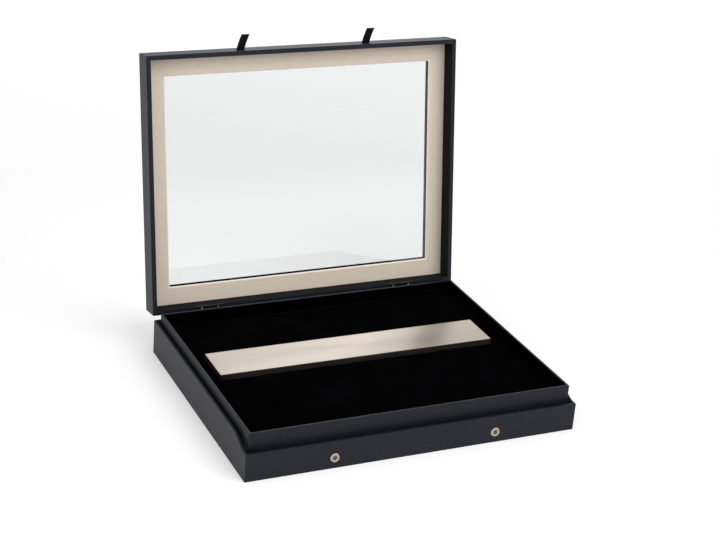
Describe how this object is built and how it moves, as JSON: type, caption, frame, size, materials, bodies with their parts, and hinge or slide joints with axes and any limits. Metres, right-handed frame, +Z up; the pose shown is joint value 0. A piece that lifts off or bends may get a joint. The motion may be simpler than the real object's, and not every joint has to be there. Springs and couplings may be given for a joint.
{
  "type": "knife display case",
  "caption": "Low wrapped display case, shown open: hinged glass lid lined with an ivory mat, velvet tray with a metal bar, front locks and ribbon pulls.",
  "frame": {"origin": "middle of the underside", "axes": "+X to the viewer's right along the front, +Y from the front to the hinged back, +Z up"},
  "size_m": [0.4, 0.3974, 0.3685],
  "materials": {
    "charcoal_wrap": "matte",
    "board": "matte",
    "black_paper": "matte",
    "black_velvet": "matte",
    "champagne_metal": "brushed",
    "hinge_metal": "satin",
    "steel": "satin",
    "lock_ring": "polished",
    "lock_plug": "satin",
    "glass": "polished",
    "ivory_satin": "satin",
    "black_ribbon": "satin"
  },
  "bodies": {
    "base": {"base_sheet": "charcoal_wrap", "base_board": "board", "skirt_front": "charcoal_wrap", "skirt_left": "charcoal_wrap", "skirt_right": "charcoal_wrap", "skirt_back": "charcoal_wrap", "spacer_front": "black_paper", "spacer_back": "black_paper", "spacer_left": "black_paper", "spacer_right": "black_paper", "liner_front": "charcoal_wrap", "liner_back": "charcoal_wrap", "liner_left": "charcoal_wrap", "liner_right": "charcoal_wrap", "deck_board": "board", "deck_rib_left": "board", "deck_rib_middle": "board", "deck_rib_right": "board", "velvet_floor": "black_velvet", "velvet_front": "black_velvet", "velvet_back": "black_velvet", "velvet_left": "black_velvet", "velvet_right": "black_velvet", "bar_cover": "champagne_metal", "bar_core": "board", "bar_screws": "steel", "lock_barrel_left": "lock_ring", "lock_nut_left": "steel", "lock_barrel_right": "lock_ring", "lock_nut_right": "steel", "hinge_base_leaf_left": "hinge_metal", "hinge_base_leaf_right": "hinge_metal", "hinge_pin_left": "hinge_metal", "hinge_pin_right": "hinge_metal", "hinge_base_tacks": "hinge_metal"},
    "lid": {"lid_top_frame": "charcoal_wrap", "lid_rail_left": "charcoal_wrap", "lid_rail_right": "charcoal_wrap", "lid_rail_front": "charcoal_wrap", "lid_rail_back": "charcoal_wrap", "glass_pane": "glass", "mat_frame": "ivory_satin", "pull_tab_left": "black_ribbon", "pull_tab_right": "black_ribbon", "hinge_lid_leaf_left": "hinge_metal", "hinge_lid_leaf_right": "hinge_metal", "hinge_lid_tacks": "hinge_metal"},
    "lock_left": {"lock_plug_left": "lock_plug", "lock_cam_left": "steel", "cam_screw_left": "steel"},
    "lock_right": {"lock_plug_right": "lock_plug", "lock_cam_right": "steel", "cam_screw_right": "steel"}
  },
  "joints": [
    {"name": "lid_hinge", "type": "hinge", "parent": "base", "child": "lid", "pos_m": [0, 0.16, 0.0427], "axis": [1, 0, 0], "range_deg": [0, 99.4]},
    {"name": "lock_left_turn", "type": "hinge", "parent": "base", "child": "lock_left", "pos_m": [-0.0975, -0.157, 0.013], "axis": [0, -1, 0], "range_deg": [0, 90]},
    {"name": "lock_right_turn", "type": "hinge", "parent": "base", "child": "lock_right", "pos_m": [0.0975, -0.157, 0.013], "axis": [0, 1, 0], "range_deg": [0, 90]}
  ]
}
